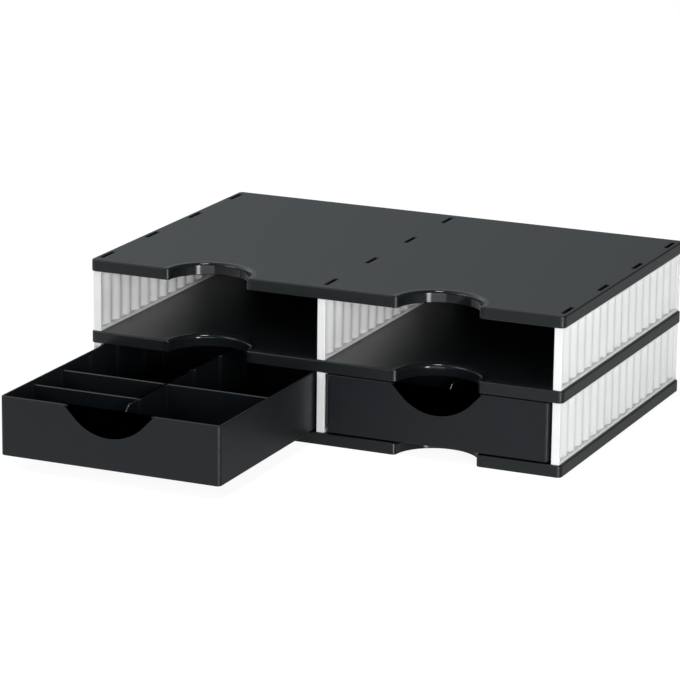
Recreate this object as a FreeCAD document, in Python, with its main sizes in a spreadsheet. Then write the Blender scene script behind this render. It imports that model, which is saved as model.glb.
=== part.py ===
import FreeCAD, Part
import math
import os
import re
import Sketcher

# Document sorting station: moulded plates stacked on corrugated walls, with two drawers below.
# X points right, Y points back, Z points up. The origin is on the desk, under the middle of the
# bottom plate. All lengths are millimetres.

# Driving sizes
SIZES = {
    # plates
    "station_width": 485.0,
    "station_depth": 331.0,
    "plate_height": 11.5,
    "plate_skin": 2.5,
    "rim_wall": 2.5,
    "corner_round": 5.0,
    "notch_radius": 40.5,
    "notch_lip": 4.0,
    "rib_thick": 2.0,
    "rib_drop": 1.0,
    "long_rib_pitch": 45.6,
    # walls
    "level_clear": 59.25,
    "wall_thick": 8.0,
    "wall_inset": 2.3,
    "wall_setback": 1.5,
    "wave_sheet": 2.0,
    "wave_height": 7.5,
    "wave_count": 16,
    "wave_flat": 3.6,
    "rail_height": 3.0,
    "front_post": 3.0,
    "rear_post": 6.0,
    "post_round": 0.8,
    # tabs of the walls and their sockets in the plates
    "tab_thick": 3.0,
    "tab_length": 25.0,
    "tab_height": 5.0,
    "tab_count": 4,
    "tab_pitch": 94.4,
    "socket_play": 0.3,
    "socket_web": 2.0,
    # back panels
    "panel_thick": 2.0,
    "panel_play": 0.2,
    "groove_depth": 2.5,
    # drawers
    "drawer_play": 2.35,
    "drawer_height": 56.4,
    "drawer_wall": 2.2,
    "drawer_front": 3.0,
    "drawer_floor": 2.0,
    "drawer_corner": 4.0,
    "drawer_stop_gap": 0.3,
    "grip_width": 84.0,
    "grip_depth": 25.3,
    "grip_shoulder": 6.0,
    "runner_height": 1.6,
    "runner_width": 4.0,
    "runner_line": 80.0,
    "runner_end": 12.0,
    "slide_gap": 0.3,
    "open_travel": 200.0,
    # dividers and the guide ribs that hold them
    "divider_thick": 1.8,
    "divider_drop": 3.5,
    "divider_play": 0.2,
    "divider_round": 2.0,
    "cell_pitch": 56.0,
    "cell_count": 5,
    "guide_thick": 1.2,
    "guide_proud": 1.4,
    "ramp_start": 9.0,
    "ramp_run": 28.0,
    "ramp_cover": 3.5,
    "ramp_round": 8.0,
}

# Sizes that follow from them
FOLLOWING = {
    "half_width": "station_width / 2",
    "half_depth": "station_depth / 2",
    "wall_line": "half_width - wall_inset - wall_thick / 2",
    "bay_centre": "wall_line / 2",
    "bay_clear": "wall_line - wall_thick",
    "level_pitch": "plate_height + level_clear",
    "middle_level": "level_pitch",
    "top_level": "2 * level_pitch",
    "wall_depth": "station_depth - 2 * wall_setback",
    "wall_front": "0 - half_depth + wall_setback",
    "wall_back": "half_depth - wall_setback",
    "wave_start": "wall_front + front_post",
    "wave_pitch": "(wall_depth - front_post - rear_post) / wave_count",
    "wave_swing": "(wave_height - wave_sheet) / 2",
    "wave_slope": "2 * wave_swing / (wave_pitch / 2 - wave_flat)",
    "wave_mitre": "wave_sheet / 2 * (sqrt(1 + wave_slope * wave_slope) - 1) / wave_slope",
    "socket_width": "tab_thick + 2 * socket_play",
    "socket_length": "tab_length + 2 * socket_play",
    "tab_first": "0 - tab_pitch * (tab_count - 1) / 2",
    "long_core": "tab_pitch - socket_length - 2 * socket_web",
    "short_core": "(long_core - socket_web) / 2",
    "groove_width": "panel_thick + 2 * panel_play",
    "groove_line": "wall_back - rear_post / 2",
    "panel_width": "bay_clear + 2 * (groove_depth - panel_play)",
    "panel_front": "groove_line - panel_thick / 2",
    "drawer_width": "bay_clear - 2 * drawer_play",
    "drawer_depth": "panel_front - drawer_stop_gap + half_depth",
    "drawer_level": "plate_height + slide_gap + runner_height",
    "inner_half": "drawer_width / 2 - drawer_wall",
    "inner_back": "drawer_depth - drawer_wall",
    "inner_corner": "drawer_corner - drawer_wall",
    "grip_radius": "(grip_width * grip_width / 4 + grip_depth * grip_depth) / (2 * grip_depth)",
    "divider_height": "drawer_height - drawer_floor - divider_drop",
    "ramp_foot": "drawer_height - drawer_floor - grip_depth - ramp_cover",
    "guide_gap": "divider_thick + 2 * divider_play",
    "cross_length": "inner_half - divider_thick / 2 - 2 * divider_play",
    "long_length": "inner_back - drawer_front - 2 * divider_play",
}

doc = FreeCAD.newDocument("sorting_station")
sheet = doc.addObject("Spreadsheet::Sheet", "Sizes")
for row, (alias, value) in enumerate(SIZES.items(), start=1):
    sheet.set(f"A{row}", alias)
    sheet.set(f"B{row}", str(value))
    sheet.setAlias(f"B{row}", alias)
for row, (alias, formula) in enumerate(FOLLOWING.items(), start=len(SIZES) + 1):
    sheet.set(f"A{row}", alias)
    sheet.set(f"B{row}", "=" + formula)
    sheet.setAlias(f"B{row}", alias)
doc.recompute()


def in_sheet(expression):
    """Every alias has an underscore, so each is found and given its sheet's name."""
    return re.sub(r"\b[a-z]+(?:_[a-z]+)+\b", r"Sizes.\g<0>", expression)


def number(expression):
    return float(sheet.evalExpression(in_sheet(expression)))


def bind(target, **expressions):
    """Binds properties to size expressions. A double underscore stands for a dot in a name."""
    for name, expression in expressions.items():
        target.setExpression(name.replace("__", "."), in_sheet(expression))


def place(target, x="0", y="0", z="0"):
    bind(target, Placement__Base__x=x, Placement__Base__y=y, Placement__Base__z=z)


# Sketches and features


def new_body(label):
    body = doc.addObject("PartDesign::Body", label)
    body.Label = label
    return body


def origin_part(body, role):
    return next(item for item in body.Origin.OriginFeatures if item.Role == role)


def new_sketch(body, name, plane="XY_Plane", height="0"):
    sketch = body.newObject("Sketcher::SketchObject", name)
    sketch.AttachmentSupport = [(origin_part(body, plane), "")]
    sketch.MapMode = "FlatFace"
    if height != "0":
        bind(sketch, AttachmentOffset__Base__z=height)
    return sketch


def tie_point(sketch, geometry, end, corner):
    """Ties one point of a sketch to a pair of size expressions."""
    for axis, other_axis, expression in (("X", -2, corner[0]), ("Y", -1, corner[1])):
        if expression == "0":
            sketch.addConstraint(Sketcher.Constraint("PointOnObject", geometry, end, other_axis))
            continue
        value = number(expression)
        constraint = sketch.addConstraint(Sketcher.Constraint("Distance" + axis, geometry, end, value))
        name = f"place_{axis}{constraint}"
        sketch.renameConstraint(constraint, name)
        sketch.setExpression("Constraints." + name, in_sheet(expression))


def draw_outline(sketch, corners):
    """A closed outline of straight lines through corners given as pairs of expressions."""
    points = [FreeCAD.Vector(number(x), number(y), 0) for x, y in corners]
    first = sketch.GeometryCount
    count = len(points)
    for k in range(count):
        sketch.addGeometry(Part.LineSegment(points[k], points[(k + 1) % count]), False)
    for k in range(count):
        sketch.addConstraint(Sketcher.Constraint("Coincident", first + k, 2, first + (k + 1) % count, 1))
    for k, corner in enumerate(corners):
        tie_point(sketch, first + k, 1, corner)


def draw_box(sketch, left, right, low, high):
    draw_outline(sketch, [(left, low), (right, low), (right, high), (left, high)])


def tie_radius(sketch, geometry, expression):
    constraint = sketch.addConstraint(Sketcher.Constraint("Radius", geometry, number(expression)))
    name = f"radius_{constraint}"
    sketch.renameConstraint(constraint, name)
    sketch.setExpression("Constraints." + name, in_sheet(expression))


def draw_circle(sketch, x, y, radius):
    centre = FreeCAD.Vector(number(x), number(y), 0)
    geometry = sketch.addGeometry(Part.Circle(centre, FreeCAD.Vector(0, 0, 1), number(radius)), False)
    tie_radius(sketch, geometry, radius)
    tie_point(sketch, geometry, 3, (x, y))


def draw_arc(sketch, centre, radius, start, end):
    """An arc that runs anticlockwise between two angles. Its radius is tied once it is joined."""
    circle = Part.Circle(FreeCAD.Vector(centre[0], centre[1], 0), FreeCAD.Vector(0, 0, 1), number(radius))
    geometry = sketch.addGeometry(Part.ArcOfCircle(circle, start, end), False)
    return geometry


def pad(body, sketch, length, name, down=False):
    feature = body.newObject("PartDesign::Pad", name)
    feature.Profile = sketch
    feature.Reversed = down
    bind(feature, Length=length)
    doc.recompute()
    return feature


def pad_both_ways(body, sketch, length, name):
    feature = pad(body, sketch, length, name)
    feature.SideType = "Symmetric"
    doc.recompute()
    return feature


def pocket(body, sketch, length, name, forward=True):
    """Cuts along the sketch's normal when forward, and against it otherwise."""
    before = body.Shape.Volume
    feature = body.newObject("PartDesign::Pocket", name)
    feature.Profile = sketch
    feature.Reversed = forward
    bind(feature, Length=length)
    doc.recompute()
    if not body.Shape.Volume < before:
        raise ValueError(f"{name} cuts nothing from {body.Label}")
    return feature


def repeat(body, feature, name, axis, length, count, second=None):
    """Repeats a feature along an axis of its body, and along a second one where that is given."""
    pattern = body.newObject("PartDesign::LinearPattern", name)
    pattern.Originals = [feature]
    pattern.Direction = (origin_part(body, axis), [""])
    bind(pattern, Length=length, Occurrences=count)
    if second:
        pattern.Direction2 = (origin_part(body, second[0]), [""])
        bind(pattern, Length2=second[1], Occurrences2=second[2])
    body.Tip = pattern
    doc.recompute()
    return pattern


def round_edges(body, radius, name, chosen):
    """Rounds the edges of a body's last feature for which chosen(edge) is true."""
    base = body.Tip
    names = [f"Edge{k}" for k, edge in enumerate(base.Shape.Edges, start=1) if chosen(edge)]
    if not names:
        raise ValueError(f"{name} finds no edges on {body.Label}")
    feature = body.newObject("PartDesign::Fillet", name)
    feature.Base = (base, names)
    bind(feature, Radius=radius)
    doc.recompute()
    return feature


def near(a, b):
    return abs(a - b) < 1e-4


def upright_at(edge, x=None, y=None):
    """True for a straight upright edge at the given place."""
    box = edge.BoundBox
    straight = near(box.XLength, 0) and near(box.YLength, 0) and box.ZLength > 1
    return straight and (x is None or near(box.XMin, x)) and (y is None or near(box.YMin, y))


def level_at(edge, z):
    return near(edge.BoundBox.ZMin, z) and near(edge.BoundBox.ZMax, z)


# Plates


def new_box(name, x, y, z, length, width, height):
    box = doc.addObject("Part::Box", name)
    bind(box, Length=length, Width=width, Height=height)
    place(box, x, y, z)
    return box


def fused(name, shapes):
    fusion = doc.addObject("Part::MultiFuse", name)
    fusion.Shapes = shapes
    return fusion


def cut(name, base, tool):
    result = doc.addObject("Part::Cut", name)
    result.Base = base
    result.Tool = tool
    result.Label = name
    return result


def plate_shell(label):
    """The full height outline: rounded corners, finger notches and wall sockets."""
    body = new_body(label + "_shell")
    sketch = new_sketch(body, label + "_outline")
    draw_box(sketch, "0 - half_width", "half_width", "0 - half_depth", "half_depth")
    pad(body, sketch, "plate_height", label + "_block")
    half_width = number("half_width")
    round_edges(body, "corner_round", label + "_corners", lambda edge: upright_at(edge))

    sketch = new_sketch(body, label + "_notches")
    for side in ("0 - bay_centre", "bay_centre"):
        draw_circle(sketch, side, "0 - half_depth", "notch_radius")
    pocket(body, sketch, "plate_height", label + "_notch_cut")
    front = 0 - number("half_depth")
    corner = number("corner_round")
    round_edges(body, "notch_lip", label + "_notch_lips",
                lambda edge: upright_at(edge, y=front) and abs(edge.BoundBox.XMin) < half_width - corner - 1)

    sketch = new_sketch(body, label + "_socket")
    draw_box(sketch, "0 - wall_line - socket_width / 2", "0 - wall_line + socket_width / 2",
             "tab_first - socket_length / 2", "tab_first + socket_length / 2")
    socket = pocket(body, sketch, "plate_height", label + "_socket_cut")
    repeat(body, socket, label + "_sockets", "Y_Axis", "tab_pitch * (tab_count - 1)", "tab_count",
           ("X_Axis", "2 * wall_line", "3"))
    return body


def plate_hollow(label):
    """What is open under the skin: two bays less their ribs and notch walls, and the rail cores."""
    bays, kept, cores = [], [], []
    hollow_height = "plate_height - plate_skin"
    inner_depth = "station_depth - 2 * rim_wall"
    inner_front = "0 - half_depth + rim_wall"
    rib_height = "plate_height - plate_skin - rib_drop"
    for side, sign in (("left", "0 - "), ("right", "")):
        centre = f"{sign}bay_centre"
        bays.append(new_box(f"{label}_{side}_bay", f"{centre} - bay_clear / 2", inner_front, "0",
                            "bay_clear", inner_depth, hollow_height))
        for k in (-1.5, -0.5, 0.5, 1.5):
            line = f"{centre} + {k} * long_rib_pitch"
            kept.append(new_box(f"{label}_{side}_long_rib", f"{line} - rib_thick / 2", inner_front,
                                "rib_drop", "rib_thick", inner_depth, rib_height))
        wall = doc.addObject("Part::Cylinder", f"{label}_{side}_notch_wall")
        bind(wall, Radius="notch_radius + rim_wall", Height="plate_height")
        place(wall, centre, "0 - half_depth")
        kept.append(wall)
    kept.append(new_box(label + "_cross_rib", "0 - wall_line", "0 - rib_thick / 2", "rib_drop",
                        "2 * wall_line", "rib_thick", rib_height))
    webbed_socket = "(socket_length + 2 * socket_web)"
    for line in ("0 - wall_line", "0", "wall_line"):
        for start, length in ((f"tab_first + {webbed_socket} / 2", "long_core"),
                              ("0 - socket_web / 2 - short_core", "short_core"),
                              ("socket_web / 2", "short_core"),
                              (f"0 - tab_first - {webbed_socket} / 2 - long_core", "long_core")):
            cores.append(new_box(f"{label}_rail_core", f"{line} - socket_width / 2", start, "0",
                                 "socket_width", length, hollow_height))
    open_bays = cut(label + "_open_bays", fused(label + "_bays", bays), fused(label + "_kept", kept))
    return fused(label + "_hollow", [open_bays] + cores)


def make_plate(label, level):
    plate = cut(label, plate_shell(label), plate_hollow(label))
    place(plate, z=level)
    return plate


# Corrugated walls


def draw_wave(sketch):
    """One wave of the sheet, from the middle of a crest to the middle of the next.

    It has a flat at each crest and valley and a straight flank between them. Both faces lie half
    the sheet from its middle line, so their bends stand apart from its bends by the mitre.
    """
    faces = []
    for side, other in (("-", "+"), ("+", "-")):
        crest = f"wave_swing {side} wave_sheet / 2"
        valley = f"0 - wave_swing {side} wave_sheet / 2"
        faces.append([
            (crest, "wave_start"),
            (crest, f"wave_start + wave_flat / 2 {side} wave_mitre"),
            (valley, f"wave_start + (wave_pitch - wave_flat) / 2 {side} wave_mitre"),
            (valley, f"wave_start + (wave_pitch + wave_flat) / 2 {other} wave_mitre"),
            (crest, f"wave_start + wave_pitch - wave_flat / 2 {other} wave_mitre"),
            (crest, "wave_start + wave_pitch"),
        ])
    draw_outline(sketch, faces[0] + faces[1][::-1])


def make_wall(label, line, level):
    body = new_body(label)
    sketch = new_sketch(body, label + "_wave")
    draw_wave(sketch)
    wave = pad(body, sketch, "level_clear", label + "_first_wave")
    repeat(body, wave, label + "_waves", "Y_Axis", "wave_pitch * (wave_count - 1)", "wave_count")

    sketch = new_sketch(body, label + "_rail")
    draw_box(sketch, "0 - wall_thick / 2", "wall_thick / 2", "wall_front", "wall_back")
    rail = pad(body, sketch, "rail_height", label + "_first_rail")
    repeat(body, rail, label + "_rails", "Z_Axis", "level_clear - rail_height", "2")

    sketch = new_sketch(body, label + "_posts")
    draw_box(sketch, "0 - wall_thick / 2", "wall_thick / 2", "wall_front", "wall_front + front_post")
    draw_box(sketch, "0 - wall_thick / 2", "wall_thick / 2", "wall_back - rear_post", "wall_back")
    pad(body, sketch, "level_clear", label + "_post_pad")
    front = number("wall_front")
    round_edges(body, "post_round", label + "_post_edges", lambda edge: upright_at(edge, y=front))

    sketch = new_sketch(body, label + "_grooves")
    for side in ("0 - ", ""):
        inner = f"{side}(wall_thick / 2 - groove_depth)"
        outer = f"{side}(wall_thick / 2 + 1)"
        draw_box(sketch, inner, outer, "groove_line - groove_width / 2", "groove_line + groove_width / 2")
    pocket(body, sketch, "level_clear", label + "_groove_cut")

    sketch = new_sketch(body, label + "_tab")
    draw_box(sketch, "0 - tab_thick / 2", "tab_thick / 2",
             "tab_first - tab_length / 2", "tab_first + tab_length / 2")
    tab = pad(body, sketch, "tab_height", label + "_first_tab", down=True)
    repeat(body, tab, label + "_tabs", "Y_Axis", "tab_pitch * (tab_count - 1)", "tab_count",
           ("Z_Axis", "level_clear + tab_height", "2"))
    place(body, line, "0", level)
    return body


def make_back_panel(label, centre, level):
    body = new_body(label)
    sketch = new_sketch(body, label + "_outline")
    draw_box(sketch, "0 - panel_width / 2", "panel_width / 2", "0 - panel_thick / 2", "panel_thick / 2")
    pad(body, sketch, "level_clear - panel_play", label + "_sheet")
    place(body, centre, "groove_line", level)
    return body


# Drawers


def draw_grip(sketch):
    """The finger cut-out of a drawer front: a round hollow that meets the rim in rounded shoulders."""
    height = number("drawer_height")
    radius = number("grip_radius")
    shoulder = number("grip_shoulder")
    centre = (0.0, height + radius - number("grip_depth"))
    rise = centre[1] - (height - shoulder)
    reach = math.sqrt((radius + shoulder) ** 2 - rise ** 2)
    lean = math.atan2(rise, reach)
    hollow = draw_arc(sketch, centre, "grip_radius", math.pi + lean, 2 * math.pi - lean)
    right = draw_arc(sketch, (reach, height - shoulder), "grip_shoulder", math.pi / 2, math.pi - lean)
    left = draw_arc(sketch, (-reach, height - shoulder), "grip_shoulder", lean, math.pi / 2)
    corners = [FreeCAD.Vector(reach, height, 0), FreeCAD.Vector(reach, height + shoulder, 0),
               FreeCAD.Vector(-reach, height + shoulder, 0), FreeCAD.Vector(-reach, height, 0)]
    lines = [sketch.addGeometry(Part.LineSegment(a, b), False) for a, b in zip(corners, corners[1:])]
    joints = [(hollow, 2, right, 2), (right, 1, lines[0], 1), (lines[0], 2, lines[1], 1),
              (lines[1], 2, lines[2], 1), (lines[2], 2, left, 2), (left, 1, hollow, 1)]
    for joint in joints:
        sketch.addConstraint(Sketcher.Constraint("Coincident", *joint))
    for geometry, size in ((hollow, "grip_radius"), (right, "grip_shoulder"), (left, "grip_shoulder")):
        tie_radius(sketch, geometry, size)


def draw_guide_pair(sketch, left, right, station):
    """Two upright ribs, one on each side of a divider that stands across at the station."""
    draw_box(sketch, left, right, f"{station} - guide_gap / 2 - guide_thick", f"{station} - guide_gap / 2")
    draw_box(sketch, left, right, f"{station} + guide_gap / 2", f"{station} + guide_gap / 2 + guide_thick")


def make_drawer(label, centre, front):
    """A moulded box whose front face is at its own Y zero and whose floor is at its own Z zero."""
    body = new_body(label)
    sketch = new_sketch(body, label + "_outline")
    draw_box(sketch, "0 - drawer_width / 2", "drawer_width / 2", "0", "drawer_depth")
    pad(body, sketch, "drawer_height", label + "_block")
    round_edges(body, "drawer_corner", label + "_corners", lambda edge: upright_at(edge))

    sketch = new_sketch(body, label + "_inside", height="drawer_floor")
    draw_box(sketch, "0 - inner_half", "inner_half", "drawer_front", "inner_back")
    pocket(body, sketch, "drawer_height - drawer_floor", label + "_inside_cut")
    inner_half = number("inner_half")
    round_edges(body, "inner_corner", label + "_inner_corners",
                lambda edge: upright_at(edge) and near(abs(edge.BoundBox.XMin), inner_half))

    sketch = new_sketch(body, label + "_grip", plane="XZ_Plane")
    draw_grip(sketch)
    pocket(body, sketch, "2 * drawer_front", label + "_grip_cut", forward=False)

    sketch = new_sketch(body, label + "_runners")
    for side in ("0 - ", ""):
        draw_box(sketch, f"{side}(runner_line - runner_width / 2)", f"{side}(runner_line + runner_width / 2)",
                 "runner_end", "drawer_depth - runner_end")
    pad(body, sketch, "runner_height", label + "_runner_pad", down=True)

    sketch = new_sketch(body, label + "_guides", height="drawer_floor")
    station = "drawer_front + cell_pitch"
    draw_guide_pair(sketch, "0 - inner_half", "0 - inner_half + guide_proud", station)
    guides = pad(body, sketch, "divider_height", label + "_first_guides")
    repeat(body, guides, label + "_guide_rows", "Y_Axis", "cell_pitch * (cell_count - 1)", "cell_count",
           ("X_Axis", "2 * inner_half - guide_proud", "2"))
    for name, near_face, far_face, height in (
            ("front", "drawer_front", "drawer_front + guide_proud", "ramp_foot"),
            ("back", "inner_back - guide_proud", "inner_back", "divider_height")):
        sketch = new_sketch(body, f"{label}_{name}_guides", height="drawer_floor")
        draw_box(sketch, "0 - guide_gap / 2 - guide_thick", "0 - guide_gap / 2", near_face, far_face)
        draw_box(sketch, "guide_gap / 2", "guide_gap / 2 + guide_thick", near_face, far_face)
        pad(body, sketch, height, f"{label}_{name}_guide_pad")
    place(body, centre, front, "drawer_level")
    return body


def make_long_divider(label, centre, front):
    """It stands along the middle of a drawer and ramps down behind the finger cut-out."""
    body = new_body(label)
    sketch = new_sketch(body, label + "_profile", plane="YZ_Plane")
    ramp_end = "ramp_start + ramp_run"
    draw_outline(sketch, [("0", "0"), ("long_length", "0"), ("long_length", "divider_height"),
                          (ramp_end, "divider_height"), ("ramp_start", "ramp_foot"), ("0", "ramp_foot")])
    pad_both_ways(body, sketch, "divider_thick", label + "_sheet")
    bends = [(number("ramp_start"), number("ramp_foot")), (number(ramp_end), number("divider_height"))]
    round_edges(body, "ramp_round", label + "_ramp_bends",
                lambda edge: any(near(edge.BoundBox.YMin, y) and near(edge.BoundBox.YMax, y)
                                 and level_at(edge, z) for y, z in bends))
    sketch = new_sketch(body, label + "_guides")
    station = "cell_pitch - divider_play"
    draw_guide_pair(sketch, "0 - divider_thick / 2 - guide_proud", "divider_thick / 2 + guide_proud", station)
    guides = pad(body, sketch, "divider_height", label + "_first_guides")
    repeat(body, guides, label + "_guide_rows", "Y_Axis", "cell_pitch * (cell_count - 1)", "cell_count")
    place(body, centre, f"{front} + drawer_front + divider_play", "drawer_level + drawer_floor")
    return body


def make_cross_divider(label, centre, front, side, station):
    """It stands between a side wall and the long divider, on the side given as -1 or 1."""
    body = new_body(label)
    sketch = new_sketch(body, label + "_profile", plane="XZ_Plane")
    draw_box(sketch, "0 - cross_length / 2", "cross_length / 2", "0", "divider_height")
    pad_both_ways(body, sketch, "divider_thick", label + "_sheet")
    top = number("divider_height")
    round_edges(body, "divider_round", label + "_top_corners",
                lambda edge: level_at(edge, top) and near(edge.BoundBox.XLength, 0))
    middle = f"{centre} + {side} * (inner_half + divider_thick / 2) / 2"
    place(body, middle, f"{front} + drawer_front + {station} * cell_pitch", "drawer_level + drawer_floor")
    return body


# The whole station

pieces = []
for label, level in (("bottom_plate", "0"), ("middle_plate", "middle_level"), ("top_plate", "top_level")):
    pieces.append(make_plate(label, level))

SIDES = (("left", "0 - "), ("right", ""))
for storey, level in (("lower", "plate_height"), ("upper", "middle_level + plate_height")):
    for side, line in (("left", "0 - wall_line"), ("centre", "0"), ("right", "wall_line")):
        pieces.append(make_wall(f"{storey}_{side}_wall", line, level))
    for side, sign in SIDES:
        pieces.append(make_back_panel(f"{storey}_{side}_back_panel", f"{sign}bay_centre", level))

drawer_fronts = {"left": "0 - half_depth - open_travel", "right": "0 - half_depth"}
for side, sign in SIDES:
    centre = f"{sign}bay_centre"
    front = drawer_fronts[side]
    pieces.append(make_drawer(f"{side}_drawer", centre, front))
    pieces.append(make_long_divider(f"{side}_drawer_long_divider", centre, front))
    for name, column, station in (("front", -1, 1), ("middle", -1, 2), ("side", 1, 2)):
        pieces.append(make_cross_divider(f"{side}_drawer_{name}_divider", centre, front, column, station))
doc.recompute()

for item in doc.Objects:
    if "Invalid" in item.State or "Error" in item.State:
        raise ValueError(f"{item.Label} is not built: {item.State}")
for piece in pieces:
    if piece.Shape.isNull() or not piece.Shape.isValid():
        raise ValueError(f"{piece.Label} has no sound shape")

os.makedirs("parts", exist_ok=True)
for piece in pieces:
    piece.Shape.exportStep(f"parts/{piece.Label}.step")
    box = piece.Shape.BoundBox
    print(f"{piece.Label}: {len(piece.Shape.Solids)} solid, "
          f"{box.XLength:.1f} x {box.YLength:.1f} x {box.ZLength:.1f} mm")
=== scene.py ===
import math

import bmesh
import bpy
import numpy as np
from mathutils import Matrix, Vector


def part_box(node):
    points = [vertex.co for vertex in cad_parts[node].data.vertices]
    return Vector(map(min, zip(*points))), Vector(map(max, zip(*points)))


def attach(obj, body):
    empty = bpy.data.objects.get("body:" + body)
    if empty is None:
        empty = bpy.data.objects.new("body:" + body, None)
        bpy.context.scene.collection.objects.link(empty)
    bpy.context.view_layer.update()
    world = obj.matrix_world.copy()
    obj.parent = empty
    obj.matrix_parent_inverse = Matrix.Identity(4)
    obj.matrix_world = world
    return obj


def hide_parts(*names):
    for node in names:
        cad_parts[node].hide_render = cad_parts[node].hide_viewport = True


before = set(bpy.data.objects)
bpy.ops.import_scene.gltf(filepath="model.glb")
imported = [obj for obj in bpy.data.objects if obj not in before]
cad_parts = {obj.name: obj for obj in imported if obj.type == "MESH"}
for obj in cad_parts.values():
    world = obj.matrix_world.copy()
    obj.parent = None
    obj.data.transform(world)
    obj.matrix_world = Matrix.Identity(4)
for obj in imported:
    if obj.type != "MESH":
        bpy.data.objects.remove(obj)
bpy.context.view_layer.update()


# Plates: three black polystyrene mouldings, each a skin over ribs with a rim round it. They lie
# flat, and the walls' tabs come up through the slots along their three rails. Their edges leave
# the mould slightly rounded, and the walls of the finger notches leave it polished.

PLATE_BLACK = (0.0078, 0.0100, 0.0112, 1.0)
PLATE_FRONT = -0.1655
PLATE_RIM = 0.0040
WALL_LINE = 0.2362
NOTCH_CENTRE = WALL_LINE / 2
NOTCH_REACH = 0.0455
POLISH_FADE = 0.002

WELD = 0.000002
SEAM_SNAP = 0.000001
LEVEL = 0.0001
FLAT = math.radians(0.5)
SHARP = math.radians(25)
BROKEN_EDGE = 0.0003
PLATE_LOWER_EDGE = 0.0007
PLATE_TOP_EDGE = 0.0008
PLATE_TOP_RIM = 0.0015
NOTCH_GROWTH = 0.0020
NOTCH_GROWN_AT = 0.020

PLASTIC_IOR = 1.5
DRIFT_SCALE = 22.0
DRIFT_DETAIL = 3.0
GLOSS_DRIFT = 0.04
SHADE_DRIFT = 0.08
GRAIN_SIZE = 0.00045
GRAIN_DETAIL = 2.0
GRAIN_DEPTH = 0.000012
GRAIN_STRENGTH = 0.35


def moulding(node, roundings, material, seams=()):
    """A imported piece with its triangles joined, its flat faces whole and its edges rounded.

    roundings gives the width of each sharp edge's rounding from the middle of the edge. Faces
    are parted along each seam, a place on x, so that none is left with a hole in it.
    """
    piece = bpy.data.objects.new(node + "_moulding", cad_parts[node].data.copy())
    bpy.context.scene.collection.objects.link(piece)
    shell = bmesh.new()
    shell.from_mesh(piece.data)
    bmesh.ops.remove_doubles(shell, verts=shell.verts, dist=WELD)
    for x in seams:
        everything = shell.verts[:] + shell.edges[:] + shell.faces[:]
        parted = bmesh.ops.bisect_plane(shell, geom=everything, dist=SEAM_SNAP,
                                        plane_co=(x, 0, 0), plane_no=(1, 0, 0))
        for edge in parted["geom_cut"]:
            if isinstance(edge, bmesh.types.BMEdge):
                edge.seam = True
    bmesh.ops.dissolve_limit(shell, angle_limit=FLAT, use_dissolve_boundaries=False,
                             verts=shell.verts, edges=shell.edges, delimit={"SEAM"})
    share = shell.edges.layers.float.new("bevel_weight_edge")
    sharp = [edge for edge in shell.edges if edge.calc_face_angle(0.0) > SHARP]
    middles = np.array([(edge.verts[0].co + edge.verts[1].co) / 2 for edge in sharp])
    widths = roundings(middles, *np.array(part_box(node)))
    for edge, width in zip(sharp, widths / widths.max()):
        edge[share] = width
    shell.to_mesh(piece.data)
    shell.free()
    piece.data.shade_smooth()
    rounding = piece.modifiers.new("rounded edges", "BEVEL")
    rounding.width = widths.max()
    rounding.segments = 4
    rounding.limit_method = "WEIGHT"
    rounding.use_clamp_overlap = False
    level_shading(piece)
    piece.data.materials.clear()
    piece.data.materials.append(material)
    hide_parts(node)
    return piece


def level_shading(piece):
    """Each flat face shades flat, and only the roundings beside it turn the light."""
    shading = piece.modifiers.new("level shading", "WEIGHTED_NORMAL")
    shading.mode = "FACE_AREA"
    shading.weight = 100
    shading.keep_sharp = False


def near_sides(x, y, low, high, reach):
    """True where a point in plan lies less than reach inside one of the piece's four sides."""
    return np.minimum.reduce([x - low[0], high[0] - x, y - low[1], high[1] - y]) < reach


def plate_roundings(middles, low, high):
    """Widest round the notches on top, less along the outer rim, small under the plate.

    Round a notch the width starts at the rim's and grows evenly with the distance from the
    front edge, up to NOTCH_GROWN_AT behind it.
    """
    x, y, z = middles.T
    rim = near_sides(x, y, low, high, PLATE_RIM)
    notch = (np.abs(np.abs(x) - NOTCH_CENTRE) < NOTCH_REACH) & (y < PLATE_FRONT + NOTCH_REACH)
    on_top = z > high[2] - LEVEL
    widths = np.full(len(middles), BROKEN_EDGE)
    widths[rim | notch] = PLATE_LOWER_EDGE
    widths[on_top] = PLATE_TOP_EDGE
    widths[on_top & rim] = PLATE_TOP_RIM
    grown = np.clip((y - PLATE_FRONT) / NOTCH_GROWN_AT, 0, 1)
    bowl = on_top & notch
    widths[bowl] = PLATE_TOP_RIM + NOTCH_GROWTH * grown[bowl]
    return widths


def noise(tree, place, scale, detail):
    """Smooth noise with scale patches to the metre, read at the point that place gives."""
    node = tree.nodes.new("ShaderNodeTexNoise")
    node.inputs["Scale"].default_value = scale
    node.inputs["Detail"].default_value = detail
    tree.links.new(place, node.inputs["Vector"])
    return node.outputs["Fac"]


def ramp(tree, value, start, end, low, high):
    """low where value is start, high where it is end, even between them and level past them."""
    node = tree.nodes.new("ShaderNodeMapRange")
    node.inputs["From Min"].default_value = start
    node.inputs["From Max"].default_value = end
    node.inputs["To Min"].default_value = low
    node.inputs["To Max"].default_value = high
    tree.links.new(value, node.inputs["Value"])
    return node.outputs["Result"]


def blend(tree, share, first, second):
    """A colour that goes from first to second as share goes from 0 to 1."""
    node = tree.nodes.new("ShaderNodeMix")
    node.data_type = "RGBA"
    node.inputs["A"].default_value = first
    node.inputs["B"].default_value = second
    tree.links.new(share, node.inputs["Factor"])
    return node.outputs["Result"]


def worked_out(tree, operation, *values):
    """What a Math node makes of values, each a number or another node's output."""
    node = tree.nodes.new("ShaderNodeMath")
    node.operation = operation
    for socket, value in zip(node.inputs, values):
        if isinstance(value, bpy.types.NodeSocket):
            tree.links.new(value, socket)
        else:
            socket.default_value = value
    return node.outputs["Value"]


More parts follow.
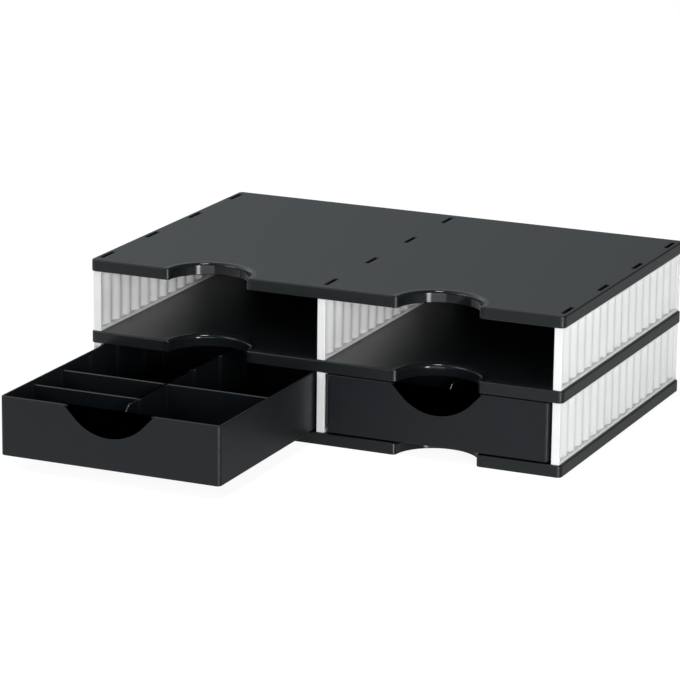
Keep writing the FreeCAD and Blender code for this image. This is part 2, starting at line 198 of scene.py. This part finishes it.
def moulded_plastic(name, colour, roughness, specular):
    """Polystyrene from a spark-eroded mould: a fine even grain, slow drifts of gloss and shade."""
    material = bpy.data.materials.new(name)
    material.use_nodes = True
    tree = material.node_tree
    shader = tree.nodes["Principled BSDF"]
    shader.inputs["IOR"].default_value = PLASTIC_IOR
    shader.inputs["Specular IOR Level"].default_value = specular
    place = tree.nodes.new("ShaderNodeTexCoord").outputs["Object"]

    drift = noise(tree, place, DRIFT_SCALE, DRIFT_DETAIL)
    gloss = ramp(tree, drift, 0.0, 1.0, roughness - GLOSS_DRIFT, roughness + GLOSS_DRIFT)
    tree.links.new(gloss, shader.inputs["Roughness"])
    darker = [channel * (1 - SHADE_DRIFT) for channel in colour[:3]] + [1.0]
    lighter = [channel * (1 + SHADE_DRIFT) for channel in colour[:3]] + [1.0]
    tree.links.new(blend(tree, drift, darker, lighter), shader.inputs["Base Color"])

    bump = tree.nodes.new("ShaderNodeBump")
    bump.inputs["Strength"].default_value = GRAIN_STRENGTH
    bump.inputs["Distance"].default_value = GRAIN_DEPTH
    tree.links.new(noise(tree, place, 1 / GRAIN_SIZE, GRAIN_DETAIL), bump.inputs["Height"])
    tree.links.new(bump.outputs["Normal"], shader.inputs["Normal"])
    return material


def polish_notches(material, grained, polished):
    """The walls of the finger notches are polished, the faces round them grained.

    Roughness goes from polished to grained where the distance in plan from the nearer notch's
    centre grows from NOTCH_REACH by POLISH_FADE. This takes the place of the drifts of gloss.
    """
    tree = material.node_tree
    roughness = tree.nodes["Principled BSDF"].inputs["Roughness"]
    tree.nodes.remove(roughness.links[0].from_node)
    place = tree.nodes.new("ShaderNodeSeparateXYZ")
    tree.links.new(tree.nodes["Texture Coordinate"].outputs["Object"], place.inputs["Vector"])
    spot = tree.nodes.new("ShaderNodeCombineXYZ")
    tree.links.new(worked_out(tree, "ABSOLUTE", place.outputs["X"]), spot.inputs["X"])
    tree.links.new(place.outputs["Y"], spot.inputs["Y"])
    away = tree.nodes.new("ShaderNodeVectorMath")
    away.operation = "DISTANCE"
    away.inputs[1].default_value = (NOTCH_CENTRE, PLATE_FRONT, 0.0)
    tree.links.new(spot.outputs["Vector"], away.inputs[0])
    fade = (NOTCH_REACH, NOTCH_REACH + POLISH_FADE)
    tree.links.new(ramp(tree, away.outputs["Value"], *fade, polished, grained), roughness)


plate_black = moulded_plastic("black plate plastic", PLATE_BLACK, roughness=0.35, specular=0.36)
polish_notches(plate_black, grained=0.35, polished=0.12)
for node in ("bottom_plate", "middle_plate", "top_plate"):
    plate = moulding(node, plate_roundings, plate_black, seams=(-WALL_LINE, 0.0, WALL_LINE))
    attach(plate, "carcass")


# Walls: six mouldings of white, slightly translucent polystyrene that carry the plates. Each is
# a thin sheet that waves from side to side in a frame of a foot rail, a head rail, a front post
# and a grooved rear post. Four tabs above and below stand in the plates' slots.

WALL_WHITE = (0.86, 0.86, 0.855, 1.0)
LIGHT_DEPTH = 0.0012
WALL_HEIGHT = 0.05925
WALL_THICK = 0.008
WALL_DEPTH = 0.328
SHEET_THICK = 0.002
SHEET_SWING = 0.0017
SHEET_SEATING = 0.0005
WAVE_COUNT = 16
WAVE_SQUARENESS = 0.4
STEPS_PER_WAVE = 24
RAIL_HEIGHT = 0.003
FRONT_POST = 0.003
REAR_POST = 0.006
GROOVE_WIDTH = 0.0024
GROOVE_DEPTH = 0.0025
TAB_COUNT = 4
TAB_PITCH = 0.0944
TAB_THICK = 0.003
TAB_LENGTH = 0.025
TAB_HEIGHT = 0.005
WALL_ROUNDING = 0.0006
WALL_SHARP = math.radians(40)


def sheet_outline(start, end):
    """Both faces of the waving sheet in plan.

    The middle line is swing * tanh(s cos t) / tanh(s), where t grows by a turn with each wave and
    s is the squareness. Each face lies half the sheet's thickness from it, square to it.
    """
    y = np.linspace(start, end, WAVE_COUNT * STEPS_PER_WAVE + 1)
    turn = 2 * np.pi * (y - start) / (end - start) * WAVE_COUNT
    x = SHEET_SWING * np.tanh(WAVE_SQUARENESS * np.cos(turn)) / math.tanh(WAVE_SQUARENESS)
    slope = np.gradient(x, y)
    length = np.hypot(1, slope)
    off_x, off_y = SHEET_THICK / 2 / length, -SHEET_THICK / 2 * slope / length
    right = np.stack([x + off_x, y + off_y], axis=1)
    left = np.stack([x - off_x, y - off_y], axis=1)
    return np.concatenate([right, left[::-1]])


def grooved_outline(front, back):
    """The rear post in plan, with a groove for the back panel in each side."""
    side, floor = WALL_THICK / 2, WALL_THICK / 2 - GROOVE_DEPTH
    low, high = (front + back - GROOVE_WIDTH) / 2, (front + back + GROOVE_WIDTH) / 2
    right = [(side, front), (side, low), (floor, low), (floor, high), (side, high), (side, back)]
    return np.array(right + [(-x, y) for x, y in reversed(right)])


def frame_outline(front, back):
    """The front post and both rails seen from the side, in y and z: a frame open at the back."""
    low, high = RAIL_HEIGHT, WALL_HEIGHT - RAIL_HEIGHT
    inner = front + FRONT_POST
    return np.array([(front, 0), (back, 0), (back, low), (inner, low),
                     (inner, high), (back, high), (back, WALL_HEIGHT), (front, WALL_HEIGHT)])


def tab_outline(middle):
    """A tab in plan, with its middle at a place on y."""
    across, along = TAB_THICK / 2, TAB_LENGTH / 2
    return np.array([(-across, middle - along), (across, middle - along),
                     (across, middle + along), (-across, middle + along)])


def extrusion(outline, start, end, along="z", doubled=False):
    """A closed outline carried straight along z, or along x where the outline is in y and z.

    Each end is closed by one face or, where the outline doubles back on itself as the sheet's
    does, by a row of faces that each join a step of it to the step lying opposite.
    """
    count = len(outline)
    ends = [np.full((count, 1), value) for value in (start, end)]
    if along == "z":
        points = np.concatenate([np.hstack([outline, value]) for value in ends])
    else:
        points = np.concatenate([np.hstack([value, outline]) for value in ends])
    k = np.arange(count)
    after = (k + 1) % count
    faces = np.column_stack([k, after, after + count, k + count]).tolist()
    if doubled:
        closing = [[k, k + 1, count - 2 - k, count - 1 - k] for k in range(count // 2 - 1)]
    else:
        closing = [list(range(count))]
    for face in closing:
        faces += [face[::-1], [k + count for k in face]]
    return points, faces


def corrugated_wall(name, place, material):
    """The sheet, its frame, rear post and tabs, each an outline carried straight and closed."""
    front, back, side = -WALL_DEPTH / 2, WALL_DEPTH / 2, WALL_THICK / 2
    seat_low, seat_high = SHEET_SEATING, WALL_HEIGHT - SHEET_SEATING
    sheet = sheet_outline(front + FRONT_POST, back - REAR_POST)
    parts = [extrusion(sheet, seat_low, seat_high, doubled=True),
             extrusion(frame_outline(front, back - REAR_POST), -side, side, along="x"),
             extrusion(grooved_outline(back - REAR_POST, back), 0.0, WALL_HEIGHT)]
    for k in range(TAB_COUNT):
        tab = tab_outline((k - (TAB_COUNT - 1) / 2) * TAB_PITCH)
        parts.append(extrusion(tab, -TAB_HEIGHT, seat_low))
        parts.append(extrusion(tab, seat_high, WALL_HEIGHT + TAB_HEIGHT))
    points, faces = np.empty((0, 3)), []
    for part_points, part_faces in parts:
        faces += [[k + len(points) for k in face] for face in part_faces]
        points = np.concatenate([points, part_points])
    wall = bpy.data.objects.new(name, bpy.data.meshes.new(name))
    wall.data.from_pydata(points, [], faces)
    outward = bmesh.new()
    outward.from_mesh(wall.data)
    bmesh.ops.recalc_face_normals(outward, faces=outward.faces)
    outward.to_mesh(wall.data)
    outward.free()
    wall.data.transform(Matrix.Translation(place))
    wall.data.shade_smooth()
    bpy.context.scene.collection.objects.link(wall)
    rounding = wall.modifiers.new("rounded edges", "BEVEL")
    rounding.width = WALL_ROUNDING
    rounding.segments = 3
    rounding.limit_method = "ANGLE"
    rounding.angle_limit = WALL_SHARP
    level_shading(wall)
    wall.data.materials.append(material)
    return wall


wall_white = moulded_plastic("white wall plastic", WALL_WHITE, roughness=0.42, specular=0.4)
translucence = wall_white.node_tree.nodes["Principled BSDF"].inputs
translucence["Subsurface Weight"].default_value = 1.0
translucence["Subsurface Radius"].default_value = (1.0, 1.0, 1.0)
translucence["Subsurface Scale"].default_value = LIGHT_DEPTH
for storey in ("lower", "upper"):
    for side in ("left", "centre", "right"):
        node = f"{storey}_{side}_wall"
        low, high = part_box(node)
        place = Vector(((low[0] + high[0]) / 2, 0.0, low[2] + TAB_HEIGHT))
        wall = corrugated_wall(node + "_corrugation", place, wall_white)
        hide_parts(node)
        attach(wall, "carcass")


# Back panels: four thin sheets of black polystyrene that stand in the grooves of the walls'
# rear posts and close the bays.

panel_black = moulded_plastic("black panel plastic", PLATE_BLACK, roughness=0.45, specular=0.25)
for storey in ("lower", "upper"):
    for side in ("left", "right"):
        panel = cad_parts[f"{storey}_{side}_back_panel"]
        panel.material_slots[0].material = panel_black


# Drawers: two black polystyrene boxes, each moulded in one piece with a finger cut-out in its
# front, ribs inside that hold the dividers, and two low runners that it slides on in its bay.

DRAWER_BLACK = (0.0072, 0.0092, 0.0112, 1.0)
DRAWER_FRONT = 0.003
DRAWER_RIM = 0.0012
DRAWER_SIDE_EDGE = 0.0008
DRAWER_TOP_EDGE = 0.0005
DRAWER_TOP_RIM = 0.0010
GRIP_HALF = 0.044
GRIP_DEPTH = 0.0258


def drawer_roundings(middles, low, high):
    """A millimetre along the outer rim and round the cut-out, half of it inside the rim."""
    x, y, z = middles.T
    rim = near_sides(x, y, low, high, DRAWER_RIM)
    on_top = z > high[2] - LEVEL
    in_front = y < low[1] + DRAWER_FRONT + LEVEL
    grip = in_front & (np.abs(x - (low[0] + high[0]) / 2) < GRIP_HALF) & (z > high[2] - GRIP_DEPTH)
    widths = np.full(len(middles), BROKEN_EDGE)
    widths[rim] = DRAWER_SIDE_EDGE
    widths[on_top] = DRAWER_TOP_EDGE
    widths[on_top & rim | grip] = DRAWER_TOP_RIM
    return widths


drawer_black = moulded_plastic("black drawer plastic", DRAWER_BLACK, roughness=0.40, specular=0.30)
for side in ("left", "right"):
    drawer = moulding(f"{side}_drawer", drawer_roundings, drawer_black)
    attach(drawer, f"{side}_drawer_unit")


# Dividers: thin sheets of black polystyrene that drop in between the drawers' guide ribs. The
# long one ramps down behind the finger cut-out.

DIVIDER_FOOT = 0.012
DIVIDER_TOP_EDGE = 0.0009


def divider_roundings(middles, low, high):
    """Nearly round along the top, just broken near the foot."""
    return np.where(middles[:, 2] > low[2] + DIVIDER_FOOT, DIVIDER_TOP_EDGE, BROKEN_EDGE)


divider_black = moulded_plastic("black divider plastic", DRAWER_BLACK,
                                roughness=0.20, specular=0.60)
for side in ("left", "right"):
    for part in ("long", "front", "middle", "side"):
        divider = moulding(f"{side}_drawer_{part}_divider", divider_roundings, divider_black)
        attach(divider, f"{side}_drawer_unit")


# Desk: a white acrylic sheet that reaches past the picture on every side. The camera sees it
# nearly white, with a faint shadow. Its polish shows only in what the black mouldings mirror.

DESK_REACH = 12.0
DESK_WHITE = (0.93, 0.93, 0.93, 1.0)
DESK_SEEN = (0.15, 0.15, 0.15, 1.0)
DESK_GLOW = 0.93
DESK_ROUGHNESS = 0.9
POLISH_SHARE = 0.66
POLISH_ROUGHNESS = 0.1

desk = bpy.data.objects.new("desk", bpy.data.meshes.new("desk"))
corners = [(x * DESK_REACH, y * DESK_REACH, 0.0) for x, y in ((-1, -1), (1, -1), (1, 1), (-1, 1))]
desk.data.from_pydata(corners, [], [(0, 1, 2, 3)])
bpy.context.scene.collection.objects.link(desk)
acrylic = bpy.data.materials.new("desk white")
acrylic.use_nodes = True
tree = acrylic.node_tree
path = tree.nodes.new("ShaderNodeLightPath").outputs
mirrored = worked_out(tree, "MAXIMUM", path["Is Glossy Ray"], path["Is Transmission Ray"])
seen = worked_out(tree, "MAXIMUM", path["Is Camera Ray"], mirrored)
shader = tree.nodes["Principled BSDF"]
shader.inputs["Roughness"].default_value = DESK_ROUGHNESS
shader.inputs["Specular IOR Level"].default_value = 0.0
shader.inputs["Emission Color"].default_value = (1.0, 1.0, 1.0, 1.0)
tree.links.new(blend(tree, seen, DESK_WHITE, DESK_SEEN), shader.inputs["Base Color"])
tree.links.new(worked_out(tree, "MULTIPLY", seen, DESK_GLOW), shader.inputs["Emission Strength"])
polish = tree.nodes.new("ShaderNodeBsdfGlossy")
polish.inputs["Roughness"].default_value = POLISH_ROUGHNESS
surface = tree.nodes.new("ShaderNodeMixShader")
tree.links.new(worked_out(tree, "MULTIPLY", mirrored, POLISH_SHARE), surface.inputs["Fac"])
tree.links.new(shader.outputs["BSDF"], surface.inputs[1])
tree.links.new(polish.outputs["BSDF"], surface.inputs[2])
tree.links.new(surface.outputs["Shader"], tree.nodes["Material Output"].inputs["Surface"])
desk.data.materials.append(acrylic)


# Studio: a tall strip box at the front right lights the white walls and leaves upright glints in
# the notches. A low, broad box beside it shines into the bays, another hangs at the front left
# and a small one overhead. The room glows on the left, from a little above the desk upwards.

ROOM_TINT = (0.94, 1.0, 1.03, 1.0)
ROOM_LEVEL = 0.12
ROOM_LEFT = 1.30
ROOM_RISE = (0.14, 0.36)
STATION = (0.0, 0.0, 0.08)
OVER_NOTCHES = (0.0, -0.15, 0.66)
SOFT_BOXES = {
    "strip box": {"place": (2.60, -2.49, 0.66), "aim": OVER_NOTCHES, "size": (0.56, 1.24), "watts": 55.0},
    "bay box": {"place": (1.24, -2.66, 0.44), "aim": STATION, "size": (2.3, 0.84), "watts": 17.5},
    "left box": {"place": (-1.84, -1.84, 1.58), "aim": STATION, "size": (1.6, 1.6), "watts": 14.0},
    "top box": {"place": (0.2, -0.5, 2.3), "aim": STATION, "size": (0.4, 0.4), "watts": 17.0},
}

world = bpy.data.worlds.new("room")
world.use_nodes = True
tree = world.node_tree
bearing = tree.nodes.new("ShaderNodeSeparateXYZ")
tree.links.new(tree.nodes.new("ShaderNodeTexCoord").outputs["Generated"], bearing.inputs["Vector"])
rise = ramp(tree, bearing.outputs["Z"], *ROOM_RISE, 0.0, 1.0)
leftward = worked_out(tree, "MULTIPLY", bearing.outputs["X"], rise)
level = ramp(tree, leftward, 0.0, -1.0, ROOM_LEVEL, ROOM_LEVEL + ROOM_LEFT)
background = tree.nodes["Background"]
background.inputs["Color"].default_value = ROOM_TINT
tree.links.new(level, background.inputs["Strength"])
bpy.context.scene.world = world


def soft_box(name, place, aim, size, watts):
    """A rectangular lamp at a place, turned to face a point."""
    light = bpy.data.lights.new(name, "AREA")
    light.shape = "RECTANGLE"
    light.size, light.size_y = size
    light.energy = watts
    lamp = bpy.data.objects.new(name, light)
    lamp.location = place
    lamp.rotation_euler = (Vector(aim) - Vector(place)).to_track_quat("-Z", "Y").to_euler()
    bpy.context.scene.collection.objects.link(lamp)


for name, box in SOFT_BOXES.items():
    soft_box(name, **box)


# Camera: where the photograph was taken from, worked out from the station's straight edges and
# its outline.

CAMERA_PLACE = (1.3294, -3.1085, 0.9716)
CAMERA_TURN = math.radians(23.983)
CAMERA_DIP = math.radians(-15.066)
CAMERA_ROLL = math.radians(-0.697)
FOCAL_PIXELS = 3579.6
PICTURE_PIXELS = 680
SENSOR = 36.0

view = bpy.data.cameras.new("camera")
view.sensor_width = SENSOR
view.lens = FOCAL_PIXELS / PICTURE_PIXELS * SENSOR
camera = bpy.data.objects.new("camera", view)
turned = Matrix.Rotation(CAMERA_TURN, 3, "Z") @ Matrix.Rotation(CAMERA_DIP, 3, "X")
upright = Matrix.Rotation(CAMERA_ROLL, 3, "Y") @ Matrix.Rotation(math.radians(90), 3, "X")
camera.rotation_euler = (turned @ upright).to_euler()
camera.location = CAMERA_PLACE
bpy.context.scene.collection.objects.link(camera)
bpy.context.scene.camera = camera
bpy.context.scene.view_settings.view_transform = "Standard"

bpy.context.view_layer.update()
